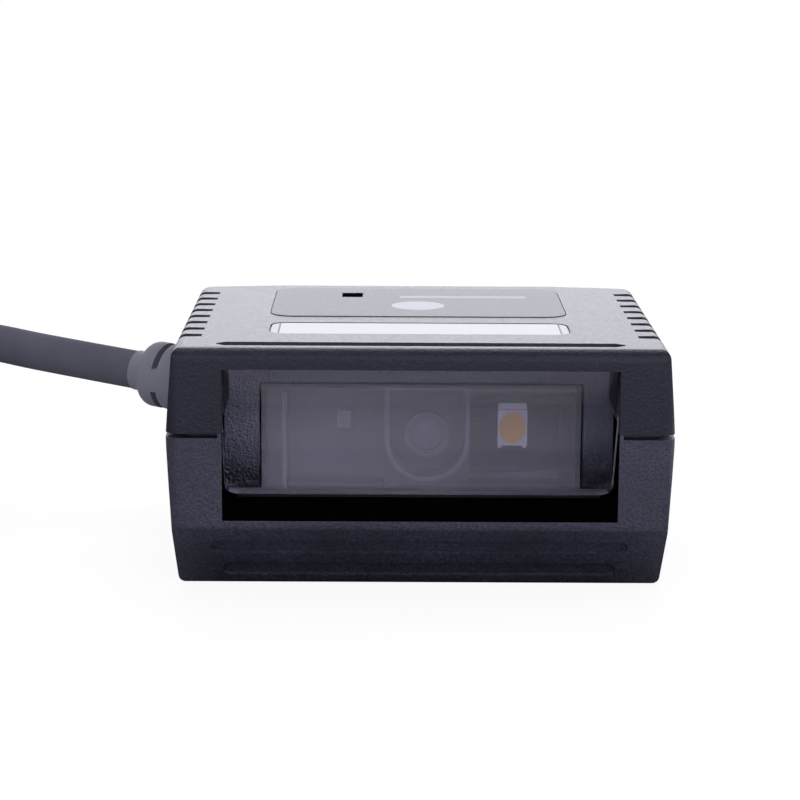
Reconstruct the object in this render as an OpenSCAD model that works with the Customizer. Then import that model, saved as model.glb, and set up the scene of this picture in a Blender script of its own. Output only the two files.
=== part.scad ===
// Fixed-mount barcode scan engine in its two-shell housing, with its data lead.
// Origin: middle of the footprint, on the surface that the housing stands on.
// +X runs to the right as seen from the window, +Y to the back, +Z up.

/* [Housing] */
// Width of the housing at the parting line
case_w = 49.5; // [48:0.5:56]
// Depth of the housing, front face to the middle of the back
case_d = 41.5; // [41:0.5:48]
// Height of the housing
case_h = 24.3; // [24:0.1:28]
// Width across the roof's side edges
roof_w = 48; // [46.5:0.1:49]
// Width across the base's side edges
base_w = 47.6; // [47:0.1:49]
// How far the lower cover stands proud of the upper one at each side
flare = 0.05; // [0.05:0.05:0.4]
// Thickness of the side, back, chin and floor walls
wall = 2; // [1.6:0.1:2.2]
// Thickness of the roof
roof_t = 2.05; // [1.8:0.05:2.4]
// Radius of the long edges of roof and base
edge_r = 0.9; // [0.5:0.1:1.4]
// Radius of the upright corners beside the window
front_r = 1.3; // [0.4:0.1:1.6]
// Radius of the upright corners at the back
back_r = 3; // [1:0.1:3.2]
// How far the back wall bows from its corners to its middle
back_bow = 2.4; // [1:0.1:3]
// Height at which the front starts to slant back under the window
chin_z = 6.6; // [6:0.1:7]
// How far the chin slants back at the base
chin_run = 3.95; // [2:0.05:5]

/* [Parting line] */
// Top edge of the lower cover
parting_z = 15.5; // [15:0.1:16.5]
// Height of the open line between the covers
line_h = 0.45; // [0.3:0.05:0.8]
// Depth of that line, down to the land that the upper cover stands on
line_depth = 1.3; // [0.8:0.1:1.5]
// Length left closed at each side of the front opening
line_stop = 0.4; // [0.2:0.1:0.8]
// Height of the light lip above the land
lip_h = 1.25; // [0.8:0.05:2]
// Thickness of the light lip
lip_t = 0.8; // [0.6:0.1:1]

/* [Window] */
// Width of the front opening
open_w = 38.5; // [37.5:0.1:39]
// Height of the sill in the opening
sill_z = 7.3; // [7.2:0.1:8.5]
// Thickness of the sill
sill_t = 1.5; // [1:0.1:1.7]
// Thickness of the window plate
window_t = 1.5; // [1:0.1:2]
// Lean of the window plate from upright, in degrees
window_lean = 30; // [20:1:31]
// How far behind the front face the plate meets the sill
window_set = 10.1; // [9.5:0.1:10.3]
// Radius of the plate's lower corners
window_r = 1.2; // [0.5:0.1:2]
// How far the plate reaches into each side post and into the roof
groove_d = 0.5; // [0.3:0.05:0.7]
// Thickness of the foam strips under the plate and over it
seal_t = 0.3; // [0.1:0.05:0.4]
// Height of the rib behind the plate's foot
stop_h = 0.8; // [0.5:0.1:1.5]
// Thickness of the front lip that the side pockets leave
lip_front = 1.5; // [1.3:0.1:1.8]
// Top of the side pockets
pocket_z = 17.5; // [17.3:0.1:18]
// Depth of the side posts behind the front face
post_d = 12.7; // [12.6:0.1:13.2]

/* [Scan engine] */
// Distance of the light baffle behind the front face
baffle_set = 16.55; // [16:0.05:17]
// Thickness of the light baffle
baffle_t = 1.2; // [1:0.1:1.5]
// Width of the engine
engine_w = 33; // [31:0.1:34]
// Height of the engine
engine_h = 11.8; // [11.4:0.1:12.2]
// Height of the engine's underside
engine_z = 6.25; // [6:0.05:6.4]
// Sideways offset of the engine from the middle
engine_x = 0.3; // [-0.5:0.1:0.5]
// Depth of the engine's moulded block
engine_d = 5.2; // [4.8:0.1:6]
// Thickness of the engine's clear cover
cover_t = 0.8; // [0.5:0.1:1]
// Outer diameter of the lens barrel
lens_d = 4.8; // [4:0.1:5.2]
// Radius of the round end of the lens recess
recess_r = 3.93; // [3.6:0.01:4.1]
// Centre of the lens along X
lens_x = 0.92; // [0.5:0.01:1.2]
// Centre of the lens above the base
lens_z = 12.05; // [11.7:0.05:12.3]

/* [Boards] */
// Distance of the decoder board behind the front face
board_set = 31.75; // [31.55:0.05:31.95]
// Thickness of the decoder board
board_t = 1; // [0.8:0.1:1.1]
// Width of the decoder board
board_w = 37.2; // [36.2:0.1:37.4]

/* [Fastenings] */
// Distance between the two threaded inserts in the floor
insert_pitch = 28; // [26:0.5:28.5]
// Thread core diameter of the inserts
insert_bore = 2.5; // [2:0.1:3]
// Outer diameter of the inserts
insert_d = 4.2; // [3.8:0.1:4.6]
// Length of the inserts
insert_l = 3.8; // [3:0.1:4]
// Shank diameter of all screws
screw_d = 1.9; // [1.6:0.1:2]
// Length of the case screws under the head
case_screw_l = 12; // [11:0.5:12.5]
// Depth of the screw wells in the base
well_z = 6; // [5:0.5:6.5]

/* [Lead] */
// Diameter of the lead
cord_d = 4.2; // [3.8:0.1:4.4]
// Largest diameter of the moulded boot
boot_d = 7.14; // [6.6:0.02:7.4]
// How far the boot leans towards the back, in degrees
boot_lean = 27; // [15:1:27]
// How far the boot rises outwards, in degrees
boot_rise = 4.1; // [0:0.1:6]
// Distance of the lead's exit behind the front face
exit_set = 30.05; // [29.55:0.05:30.15]

/* [Hidden] */
$fn = 48;
arc_steps = 5;

abs_black = [0.13, 0.13, 0.15];
black = [0.08, 0.08, 0.09];
steel = [0.62, 0.63, 0.65];
board_green = [0.05, 0.28, 0.16];
lead_grey = [0.27, 0.27, 0.31];

// General clearances: a loose fit, and a slip between flat sides
loose = 0.2;
slip = 0.1;

// Planes of the housing
front_y = -case_d / 2;
back_y = case_d / 2;
roof_under = case_h - roof_t;
land_z = parting_z + line_h;
lip_z = land_z + lip_h;
lip_foot = parting_z - 2.3;
post_back = front_y + post_d;
exit_y = front_y + exit_set;
inside_x = roof_w / 2 - wall;

// Planes of the engine, front to back
baffle_y = front_y + baffle_set;
frame_y = baffle_y + baffle_t - loose;
cover_y = frame_y - cover_t;
led_board_y = frame_y + engine_d;
led_board_t = 0.8;
holder_y = led_board_y + led_board_t;
holder_d = 4.6;
sensor_board_y = holder_y + holder_d;
sensor_board_t = 0.8;
sensor_board_w = 17;
sensor_w = 5.6;
sensor_h = 4.6;
sensor_t = 0.9;
barrel_y = frame_y + 2.9;
barrel_l = 5.6;
engine_top = engine_z + engine_h;
rim = 0.5;
ear_x = engine_w / 2 + 2;
ear_back = 2;
ear_y = led_board_y - ear_back;
ear_t = 1.6;
ear_screw_l = 4;

// Decoder board, standing in ribs of both covers
board_seat = 2.8;
board_top = roof_under - 0.85;
board_y = front_y + board_set;
board_back = board_y + board_t;
board_rib_x = 12.5;

// Packages on its rear side, and the buzzer's can
processor_w = 11;
processor_t = 1.1;
processor_z = board_seat + 3.2;
memory_x = 10.5;
memory_w = 9;
memory_h = 8;
memory_t = 0.9;
memory_z = board_seat + 4.7;
buzzer_rise = 6.8;
buzzer_z = board_seat + buzzer_rise;
buzzer_d = 8.4;
buzzer_h = 3;
buzzer_hole = 1.4;

// Guides of the light baffle
guide_t = 0.7;

// Screws
head_d = 3.1;
head_h = 1.4;
front_screw_set = 6.55;
rear_screw_in = 4.55;
rear_screw_set = 5.85;
front_screw = [open_w / 2 + groove_d + loose + head_d / 2, front_y + front_screw_set];
rear_screw = [case_w / 2 - rear_screw_in, back_y - rear_screw_set];
mount_y = 1;
buzzer_from_screw = 7;
buzzer_x = buzzer_from_screw - rear_screw.x;
processor_x = buzzer_x + (buzzer_d + processor_w) / 2 + 1.5;
boss_top = engine_z - 0.6;

// Roof details
flute_count = 8;
flute_pitch = 3.86;
flute_r = 0.85;
flute_l = 2.3;
flute_depth = 0.3;
name_front = 8.9;
name_l = 6.75;
name_y = [front_y + name_front, front_y + name_front + name_l];
name_w = 30.2;
name_depth = 0.2;
name_edge = 0.15;
name_t = 0.15;
name_r = 1.6;
overlay_y = [name_y[1] + 3.6, back_y - 3.3];
overlay_w = 30.8;
overlay_t = 0.22;
overlay_sink = 0.14;
status = [-7.05, board_back + 0.6];
status_w = 2.1;
status_l = 2.8;

// Status light
led_w = 2;
led_h = 1.4;
lens_foot = roof_under - 0.35;

// Lead: the boot's bend, its direction outwards, and where the bare lead starts
exit_z = parting_z + line_h / 2;
boot_bend = [-case_w / 2 - 1.45, exit_y + 0.2, exit_z];
boot_axis = [-cos(boot_lean) * cos(boot_rise), sin(boot_lean) * cos(boot_rise), sin(boot_rise)];
boot_l = 4.9;
boot_neck_d = cord_d + 0.15;
root_d = 5;
flange_d = 6.6;
flange_x = -case_w / 2 + wall + 0.4;
flange_t = 1.35;
root_end = -19.6;

// Round coil of the put-away length: layers wound inwards and outwards in turn
coil_centre = [-78, -1];
coil_r = 27.2;
coil_turns = 2.4;
coil_layers = 4;
coil_in = coil_r - cord_d * coil_turns;
coil_h = coil_layers * cord_d;
coil_start = 170;
coil_end = coil_start + 360 * coil_turns * coil_layers;
// The lead comes alongside the coil and joins its lowest turn over this angle
join_angle = 75;
join_step = 5.8;
// It leaves the highest turn and rises out of it over this angle
leave_angle = 65;

// The lead's free route from the boot down to the coil
cord_route = [[-36, 14.5, 16.5], [-42, 17.5, 17], [-49, 21.1, 17.6], [-52.6, 22.9, 17.5],
    [-56.1, 24.7, 16.5], [-59.7, 26.5, 14.6], [-61.8, 27.6, 13], [-65.1, 29.4, 9.9],
    [-68.6, 30.6, 6.8], [-71.8, 31.4, 4.5], [-75.8, 31.9, 2.9], [-81.2, 31.8, 2.1],
    [-88.1, 30, 2.1], [-93.8, 26.3, 2.1], [-98.2, 21.4, 2.1], [-101.3, 15.9, 2.1],
    [-103.4, 10.3, 2.1], [-104.3, 6.5, 2.1]];
// Its route from the coil's highest turn, over the coil to the plug that lies on it
tail_route = [[-56.3, 15.4, 15], [-59.8, 19.2, 15.8], [-64, 22.3, 16.9], [-68.7, 24.6, 17.9],
    [-73.7, 25.9, 18.6], [-78.5, 26.2, 18.9], [-83.1, 25.5, 18.9], [-87.4, 23.5, 18.9],
    [-91, 20.4, 19.1], [-93.6, 16.4, 19.5], [-94.9, 12.2, 19.9], [-95.1, 7.7, 20.2]];
plug_start = [-94.1, 3.1];
plug_turn = -69;

// Plug
plug_relief = 6;
plug_body_l = 17;
plug_body_w = 14;
plug_body_h = 7;
shell_w = 12;
shell_h = 4.5;
shell_l = 12;
shell_t = 0.3;

// Points and directions
function unit(v) = v / norm(v);
function fillet(a, v, b, r) =
    let (u = unit(a - v), w = unit(b - v), half = acos(u * w) / 2,
         c = v + unit(u + w) * r / sin(half), p = v + u * r / tan(half) - c,
         sweep = (180 - 2 * half) * sign(cross(-u, w)))
    [for (i = [0:arc_steps]) let (t = sweep * i / arc_steps)
        c + [p.x * cos(t) - p.y * sin(t), p.x * sin(t) + p.y * cos(t)]];
function rounded(pts, radii) = let (n = len(pts))
    [for (i = [0:n - 1]) each radii[i] == 0 ? [pts[i]]
        : fillet(pts[(i + n - 1) % n], pts[i], pts[(i + 1) % n], radii[i])];
function box_points(x0, y0, x1, y1) = [[x0, y0], [x1, y0], [x1, y1], [x0, y1]];
function rounded_box(x0, y0, x1, y1, r) = rounded(box_points(x0, y0, x1, y1), [r, r, r, r]);
function arc(centre, r, from, to, steps) =
    [for (i = [0:steps]) let (t = from + (to - from) * i / steps) centre + r * [cos(t), sin(t)]];

// Section of the leaning window plate between two heights, grown level by a margin, in Y and Z
function plate_front(z, margin = 0) = [front_y + window_set - (z - sill_z) * tan(window_lean) - margin, z];
function plate_back(z, margin = 0) = plate_front(z) + [window_t / cos(window_lean) + margin, 0];
function plate(low, high, margin = 0) = [plate_front(low, margin), plate_back(low, margin),
    plate_back(high, margin), plate_front(high, margin)];

// Extrudes an outline in X and Z along Y
module along_y(from, to) {
    translate([0, to, 0]) rotate([90, 0, 0]) linear_extrude(to - from) children();
}

// Extrudes an outline in Y and Z along X
module along_x(from, to) {
    translate([from, 0, 0]) rotate([90, 0, 90]) linear_extrude(to - from) children();
}

module block(low, high) {
    translate(low) cube(high - low);
}

// Tube swept along a list of points
module swept(path, r, sides, ref = [0, 0, 1]) {
    n = len(path);
    ring = [for (i = [0:n - 1]) let (d = unit(path[min(i + 1, n - 1)] - path[max(i - 1, 0)]),
        u = unit(cross(ref, d)), v = cross(d, u))
        for (k = [0:sides - 1]) path[i] + r * (u * cos(360 * k / sides) + v * sin(360 * k / sides))];
    polyhedron(ring, concat(
        [[for (k = [0:sides - 1]) k]],
        [[for (k = [0:sides - 1]) n * sides - 1 - k]],
        [for (i = [0:n - 2], k = [0:sides - 1]) let (a = i * sides + k, b = i * sides + (k + 1) % sides)
            each [[a, b + sides, b], [a, a + sides, b + sides]]]));
}

// Outer form of the housing, moved inwards by inset: front, side and plan outlines intersected
module front_outline(inset, upper) {
    waist = case_w / 2 - (upper ? flare : 0) - inset;
    waist_z = upper ? land_z : parting_z;
    base = base_w / 2 - inset;
    roof = roof_w / 2 - inset;
    low = upper ? [[-waist, inset], [waist, inset]] : [[-base, inset], [base, inset], [waist, waist_z]];
    high = upper ? [[waist, waist_z], [roof, case_h - inset], [-roof, case_h - inset], [-waist, waist_z]]
        : [[waist, case_h - inset], [-waist, case_h - inset], [-waist, waist_z]];
    polygon(rounded(concat(low, high), upper ? [0, 0, 0, edge_r, edge_r, 0] : [edge_r, edge_r, 0, 0, 0, 0]));
}

module side_outline(inset) {
    polygon(rounded([[front_y + chin_run + inset, inset], [back_y - inset, inset],
        [back_y - inset, case_h - inset], [front_y + inset, case_h - inset], [front_y + inset, chin_z]],
        [edge_r, edge_r, edge_r, front_r, front_r]));
}

module plan_outline(inset) {
    half = case_w / 2 + 1;
    chord = roof_w / 2;
    bow_r = (chord * chord + back_bow * back_bow) / (2 * back_bow) - inset;
    side = case_w / 2 - inset;
    reach = asin(side / bow_r);
    bow = arc([0, back_y - inset - bow_r], bow_r, 90 - reach, 90 + reach, 2 * arc_steps);
    corner_r = max(back_r - inset, loose);
    polygon(rounded(concat([[-side, front_y + inset], [side, front_y + inset]], bow),
        concat([front_r, front_r, corner_r], [for (i = [2:len(bow) - 1]) 0], [corner_r])));
}

module case_form(inset, upper) {
    intersection() {
        along_y(front_y - 1, back_y + 1) front_outline(inset, upper);
        along_x(-case_w / 2 - 1, case_w / 2 + 1) side_outline(inset);
        linear_extrude(case_h + 1) plan_outline(inset);
    }
}

module slice(low, high, from_y = front_y - 1) {
    block([-case_w, from_y, low], [case_w, back_y + 1, high]);
}

module case_slice(inset, upper, low, high, from_y = front_y - 1) {
    intersection() {
        case_form(inset, upper);
        slice(low, high, from_y);
    }
}

// Upright round bar, for bosses and holes, at all four case screws
module at_case_screws(front = true, rear = true) {
    for (side = [-1, 1]) {
        if (front) translate([side * front_screw.x, front_screw.y, 0]) children();
        if (rear) translate([side * rear_screw.x, rear_screw.y, 0]) children();
    }
}

module at_ears() {
    for (side = [-1, 1]) translate([engine_x + side * ear_x, ear_y, 0]) children();
}

module bar(low, high, d) {
    translate([0, 0, low]) cylinder(d = d, h = high - low);
}

module opening() {
    block([-open_w / 2, front_y - 2, sill_z], [open_w / 2, post_back + 0.01, roof_under]);
}

// Room beside the opening, behind its front lip, for the edges of the window plate
module side_pockets() {
    for (side = [-1, 1]) translate([side * (open_w + groove_d) / 2, 0, 0])
        block([-groove_d / 2 - 0.01, front_y + lip_front, sill_z], [groove_d / 2, post_back + 1, pocket_z]);
}

// Leaning groove for the plate's upper part, in the posts and the roof
module window_groove() {
    reach = open_w / 2 + groove_d;
    along_x(-reach, reach) polygon(plate(land_z - 1, roof_under + groove_d, slip));
}

// Hole for the boot's root and room for its flange behind the wall
module exit_hole() {
    translate([-case_w / 2 - 3, exit_y, exit_z]) rotate([0, 90, 0]) cylinder(d = root_d + 2 * slip, h = wall + 6);
    translate([flange_x - slip, exit_y, exit_z]) rotate([0, 90, 0]) cylinder(d = flange_d + 2 * loose, h = 4);
}

// Slots in which the decoder board stands, foot in one cover and head in the other
module board_ribs(low, high, slot_low, slot_high) {
    for (x = [-board_rib_x, board_rib_x]) difference() {
        block([x - 1.2, board_y - 1.2, low], [x + 1.2, board_back + 1.2, high]);
        block([x - 2, board_y - slip / 2, slot_low], [x + 2, board_back + slip / 2, slot_high]);
    }
}

module chin_flutes() {
    lean = atan(chin_run / chin_z);
    for (flute = [[2.6, 40.9], [5.65, 38.8]])
        translate([0, front_y, chin_z]) rotate([90 + lean, 0, 0])
            translate([0, -flute[0], -0.35])
                linear_extrude(1)
                    polygon(rounded_box(-flute[1] / 2, -0.85, flute[1] / 2, 0.85, 0.8));
}

module lower_cover() {
    color(abs_black) difference() {
        union() {
            difference() {
                union() {
                    case_slice(0, false, 0, parting_z);
                    case_slice(line_depth, false, parting_z - 1, land_z);
                    intersection() {
                        case_slice(0, false, parting_z - 1, land_z);
                        block([-open_w / 2 - line_stop, front_y, 0],
                            [open_w / 2 + line_stop, front_y + lip_front, case_h]);
                    }
                    case_slice(wall + slip, true, lip_foot, lip_z, post_back + 0.4);
                }
                case_slice(wall, false, 0, sill_z - sill_t);
                case_slice(wall, false, wall, lip_foot, post_back);
                case_slice(wall + slip + lip_t, true, lip_foot, case_h, post_back);
                opening();
            }
            intersection() {
                case_form(0, false);
                union() {
                    at_case_screws(rear = false) bar(0, sill_z, head_d + 1.8);
                    at_case_screws(front = false) bar(0, land_z, head_d + 1.8);
                    at_ears() bar(1, engine_z, screw_d + 2.5);
                    for (side = [-1, 1]) translate([side * insert_pitch / 2, mount_y, 0])
                        bar(0, boss_top, insert_d + 2);
                    for (side = [-1, 1], y = [baffle_y - slip - guide_t, baffle_y + baffle_t + slip])
                        translate([side * (inside_x + 0.2), y + guide_t / 2, wall + 3.4])
                            cube([4, guide_t, 7], center = true);
                    board_ribs(wall - 0.5, board_seat + 2.2, board_seat, case_h);
                    // Rib behind the window's foot
                    along_x(-open_w / 2 - 1, open_w / 2 + 1) polygon([[post_back, sill_z - 0.5],
                        [post_back, sill_z + stop_h], plate_back(sill_z + stop_h, slip),
                        plate_back(sill_z - 0.5, slip)]);
                }
            }
        }
        at_case_screws() {
            bar(-1, well_z, head_d + 2 * slip);
            bar(-1, case_h, screw_d + 2 * slip);
        }
        at_case_screws(front = false) bar(land_z, case_h, head_d + 1.8);
        at_ears() bar(wall + 0.6, case_h, screw_d);
        for (side = [-1, 1]) translate([side * insert_pitch / 2, mount_y, 0])
            bar(-1, insert_l + 0.5, insert_d);
        side_pockets();
        chin_flutes();
        exit_hole();
    }
}

module grip_flutes() {
    first = -flute_pitch * (flute_count - 1) / 2 + 0.4;
    for (side = [-1, 1], i = [0:flute_count - 1]) translate([0, first + i * flute_pitch, 0]) {
        // Run over the roof's edge, square at its inner end
        translate([side * (roof_w / 2 - flute_l), 0, case_h + flute_r - flute_depth])
            rotate([0, side * 98, 0]) cylinder(r = flute_r, h = 4);
        // Tapered run down the side wall
        translate([side * (case_w / 2 - flare + flute_r - 0.1), 0, land_z + 0.6])
            rotate([0, -side * 12, 0]) cylinder(r = flute_r, h = case_h);
    }
}

module long_flute() {
    r = 1;
    depth = 0.85;
    reach = 19.9;
    taper = 0.9;
    translate([0, front_y + 2.95, case_h + r - depth]) rotate([0, 90, 0]) {
        translate([0, 0, -reach + taper]) cylinder(r = r, h = 2 * (reach - taper));
        for (side = [0, 180]) rotate([0, side, 0])
            translate([0, 0, reach - taper]) cylinder(r1 = r, r2 = r - depth + slip, h = taper);
    }
}

module upper_cover() {
    color(abs_black) difference() {
        union() {
            difference() {
                case_slice(0, true, land_z, case_h);
                intersection() {
                    case_form(wall, true);
                    slice(land_z - 1, roof_under, post_back);
                }
                opening();
            }
            intersection() {
                case_form(0, true);
                union() {
                    at_case_screws(front = false) bar(land_z, case_h - 1, head_d + 1.5);
                    board_ribs(roof_under - 1.9, case_h - 1, 0, board_top + slip);
                }
            }
        }
        at_case_screws() bar(land_z - 1, land_z + 3, screw_d);
        side_pockets();
        window_groove();
        // Recesses for the two labels
        translate([0, 0, case_h - name_depth]) linear_extrude(1)
            polygon(rounded_box(-name_w / 2, name_y[0], name_w / 2, name_y[1], name_r));
        translate([0, 0, case_h - overlay_sink]) linear_extrude(1)
            polygon(rounded_box(-overlay_w / 2 - slip, overlay_y[0] - slip,
                overlay_w / 2 + slip, overlay_y[1] + slip, 2.4));
        // Stepped seat of the status window
        status_box(status_w + 2 * slip, status_l + 2 * slip, case_h - overlay_sink - 0.3, case_h + 1);
        status_box(status_w - 0.5 + 2 * slip, status_l - 0.5 + 2 * slip, roof_under - 1, case_h);
        long_flute();
        grip_flutes();
        exit_hole();
    }
}

module status_box(w, l, low, high) {
    translate([status.x - w / 2, status.y - l / 2, low]) cube([w, l, high - low]);
}

window_reach = open_w / 2 + groove_d - slip;
window_low = sill_z + seal_t;
window_high = roof_under + groove_d - seal_t;
module window() {
    color([0.5, 0.5, 0.6, 0.4]) intersection() {
        along_x(-window_reach, window_reach) polygon(plate(window_low, window_high));
        along_y(front_y, post_back) polygon(rounded(
            box_points(-window_reach, window_low, window_reach, window_high), [window_r, window_r, 0, 0]));
    }
}

// Foam strips, one between plate and sill and one between plate and roof
module window_seal() {
    reach = window_reach - window_r - slip;
    color(black) along_x(-reach, reach) {
        polygon(plate(sill_z, window_low));
        polygon(plate(window_high, window_high + seal_t));
    }
}

module light_baffle() {
    clear = wall + slip + lip_t + loose;
    half = min(base_w, roof_w) / 2 - clear;
    color(black) along_y(baffle_y, baffle_y + baffle_t) difference() {
        polygon([[-half, wall], [half, wall], [case_w / 2 - flare - clear, land_z],
            [roof_w / 2 - clear, roof_under - slip], [-roof_w / 2 + clear, roof_under - slip],
            [-case_w / 2 + flare + clear, land_z]]);
        polygon(rounded_box(engine_x - engine_w / 2 - loose, engine_z - loose,
            engine_x + engine_w / 2 + loose, engine_top + loose, 0.3));
    }
}

module name_label() {
    color([0.86, 0.86, 0.9]) translate([0, 0, case_h - name_depth]) linear_extrude(name_t)
        polygon(rounded_box(-name_w / 2 + name_edge, name_y[0] + name_edge,
            name_w / 2 - name_edge, name_y[1] - name_edge, name_r - name_edge));
}

module top_overlay() {
    color([0.3, 0.3, 0.34]) difference() {
        translate([0, 0, case_h - overlay_sink]) linear_extrude(overlay_t)
            polygon(rounded_box(-overlay_w / 2, overlay_y[0], overlay_w / 2, overlay_y[1], 2.3));
        status_box(status_w + slip, status_l + slip, case_h - 1, case_h + 1);
    }
}

module indicator_lens() {
    top = case_h - overlay_sink + overlay_t;
    color([0.03, 0.03, 0.05]) {
        status_box(status_w, status_l, case_h - overlay_sink - 0.3, top);
        status_box(status_w - 0.5, status_l - 0.5, lens_foot, case_h - overlay_sink - 0.2);
    }
}

// Pan-head screw pointing up, its head's top face at z = 0
module screw(length) {
    difference() {
        union() {
            translate([0, 0, -head_h]) cylinder(d = head_d, h = head_h);
            cylinder(d = screw_d, h = length);
        }
        for (turn = [0, 90]) rotate(turn)
            translate([0, 0, -head_h]) cube([1.9, 0.4, 1.2], center = true);
    }
}

module case_screws() {
    color(steel) at_case_screws() translate([0, 0, well_z]) screw(case_screw_l);
}

module engine_screws() {
    color(steel) at_ears() translate([0, 0, engine_z + ear_t]) mirror([0, 0, 1]) screw(ear_screw_l);
}

module mount_inserts() {
    color([0.78, 0.6, 0.25]) for (side = [-1, 1]) translate([side * insert_pitch / 2, mount_y, 0])
        difference() {
            cylinder(d = insert_d, h = insert_l);
            bar(-1, insert_l + 1, insert_bore);
            for (z = [1.1, 2.3]) difference() {
                bar(z, z + 0.4, insert_d + 1);
                bar(z - 1, z + 2, insert_d - 0.5);
            }
        }
}

module engine_cover() {
    color([0.7, 0.7, 0.85, 0.4]) along_y(cover_y, frame_y)
        polygon(rounded_box(engine_x - engine_w / 2, engine_z, engine_x + engine_w / 2, engine_top, 0.2));
}

// U-shaped outline of the lens recess, grown by a margin
function recess(margin) = concat(
    [[lens_x + recess_r + margin, engine_top - 0.7 + margin],
        [lens_x - recess_r - margin, engine_top - 0.7 + margin]],
    arc([lens_x, lens_z], recess_r + margin, 180, 360, 4 * arc_steps));

module engine_frame() {
    left = engine_x - engine_w / 2;
    right = engine_x + engine_w / 2;
    wall_in = 0.5;
    aimer_l = left + 2.6;
    light_l = lens_x + recess_r + wall_in;
    light_r = right - 1.8;
    low = engine_z + 0.7;
    high = engine_top - 1;
    color(black) difference() {
        union() {
            along_y(frame_y, led_board_y)
                polygon(rounded_box(left, engine_z, right, engine_top, 0.2));
            translate([0, 0, engine_z]) linear_extrude(ear_t)
                polygon(rounded_box(engine_x - ear_x - 2.1, ear_y - 2.1,
                    engine_x + ear_x + 2.1, ear_y + ear_back, 1.9));
        }
        // Recessed front face, with the rim and the beads left standing
        difference() {
            block([left + rim, frame_y - 1, engine_z + rim], [right - rim, frame_y + rim, engine_top - rim]);
            along_y(frame_y + 0.15, frame_y + 2) difference() {
                polygon(recess(wall_in));
                polygon(recess(0));
            }
            block([aimer_l - wall_in, frame_y + 0.15, low], [aimer_l, frame_y + 2, high]);
        }
        // Aimer and light compartments, open to the board behind
        block([aimer_l, frame_y - 1, low], [lens_x - recess_r - wall_in, led_board_y + 1, high]);
        block([light_l, frame_y - 1, low], [light_r, led_board_y + 1, high - 0.15]);
        // Flared outer wall of the light compartment
        linear_z(low, high - 0.15) polygon([[light_r - 0.1, frame_y - 1], [right - rim, frame_y - 1],
            [right - rim, frame_y + rim], [light_r - 0.1, led_board_y - 1]]);
        // Lens recess and the barrel's hole
        along_y(frame_y - 1, led_board_y - 1.4) polygon(recess(0));
        on_lens(frame_y, led_board_y + 1, lens_d + 2 * slip);
        at_ears() bar(0, engine_top, screw_d + 2 * slip);
        at_ears() bar(engine_z + ear_t, engine_top, head_d + 2 * loose);
    }
}

module linear_z(low, high) {
    translate([0, 0, low]) linear_extrude(high - low) children();
}

// Round bar along Y on the lens axis
module on_lens(from, to, d) {
    translate([lens_x, to, lens_z]) rotate([90, 0, 0]) cylinder(d = d, h = to - from);
}

module lens_barrel() {
    color(black) difference() {
        on_lens(barrel_y, barrel_y + barrel_l, lens_d);
        on_lens(barrel_y - 1, barrel_y + 1.2, lens_d - 1.4);
        on_lens(barrel_y, barrel_y + barrel_l + 1, lens_d - 2.4);
    }
}

module lens_glass() {
    cap_r = 4;
    color([0.35, 0.3, 0.5]) intersection() {
        on_lens(barrel_y + 0.2, barrel_y + 1.2, lens_d - 1.4);
        translate([lens_x, barrel_y + 0.2 + cap_r, lens_z]) sphere(r = cap_r);
    }
}

module lens_holder() {
    side = lens_d + 3.6;
    color(black) difference() {
        block([lens_x - side / 2, holder_y, lens_z - side / 2],
            [lens_x + side / 2, sensor_board_y, lens_z + side / 2]);
        on_lens(holder_y - 1, holder_y + 3, lens_d);
        block([lens_x - side / 2 + 1, holder_y + 2.4, lens_z - side / 2 + 1],
            [lens_x + side / 2 - 1, sensor_board_y + 1, lens_z + side / 2 - 1]);
    }
}

module image_sensor() {
    color([0.2, 0.25, 0.3]) block([lens_x - sensor_w / 2, sensor_board_y - sensor_t, lens_z - sensor_h / 2],
        [lens_x + sensor_w / 2, sensor_board_y, lens_z + sensor_h / 2]);
}

module sensor_board() {
    color(board_green) along_y(sensor_board_y, sensor_board_y + sensor_board_t)
        polygon(rounded_box(lens_x - sensor_board_w / 2, engine_z - loose,
            lens_x + sensor_board_w / 2, engine_top + loose, 0.6));
}

module led_board() {
    color(board_green) difference() {
        along_y(led_board_y, holder_y)
            polygon(rounded_box(engine_x - engine_w / 2 + 0.7, engine_z + rim,
                engine_x + engine_w / 2 - 0.7, engine_top - rim, 0.4));
        on_lens(led_board_y - 1, holder_y + 1, lens_d + 1.2);
    }
}

// White light package on the led board: moulded cup with a terminal at its head and foot
light = [10, 12.5];
module illumination_led() {
    w = 3.1;
    h = 3.8;
    color([0.85, 0.85, 0.88]) difference() {
        union() {
            block([light.x - w / 2, led_board_y - 0.8, light.y - h / 2],
                [light.x + w / 2, led_board_y, light.y + h / 2]);
            block([light.x - w / 2 + 0.05, led_board_y - 0.25, light.y + h / 2],
                [light.x + w / 2 - 0.05, led_board_y, light.y + h / 2 + 0.6]);
            for (side = [-1, 1]) translate([light.x + side * (w / 2 - 0.25), led_board_y, light.y - h / 2])
                translate([-0.2, -0.25, -0.35]) cube([0.4, 0.25, 0.4]);
        }
        along_y(led_board_y - 2, led_board_y - 0.5) polygon(phosphor_outline(0));
    }
}

function phosphor_outline(margin) =
    [for (i = [0:23]) light + [(1.17 - margin) * cos(15 * i), (1.62 - margin) * sin(15 * i)]];

module led_phosphor() {
    color([0.88, 0.72, 0.4]) along_y(led_board_y - 0.78, led_board_y - 0.5) polygon(phosphor_outline(0));
}

module aimer_led() {
    centre = [-7.77, 13.35];
    color([0.7, 0.7, 0.78]) difference() {
        block([centre.x - 0.73, led_board_y - 0.6, centre.y - 0.93],
            [centre.x + 0.73, led_board_y, centre.y + 0.93]);
        block([centre.x - 0.45, led_board_y - 1, centre.y - 0.6],
            [centre.x + 0.45, led_board_y - 0.4, centre.y + 0.6]);
    }
}

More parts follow.
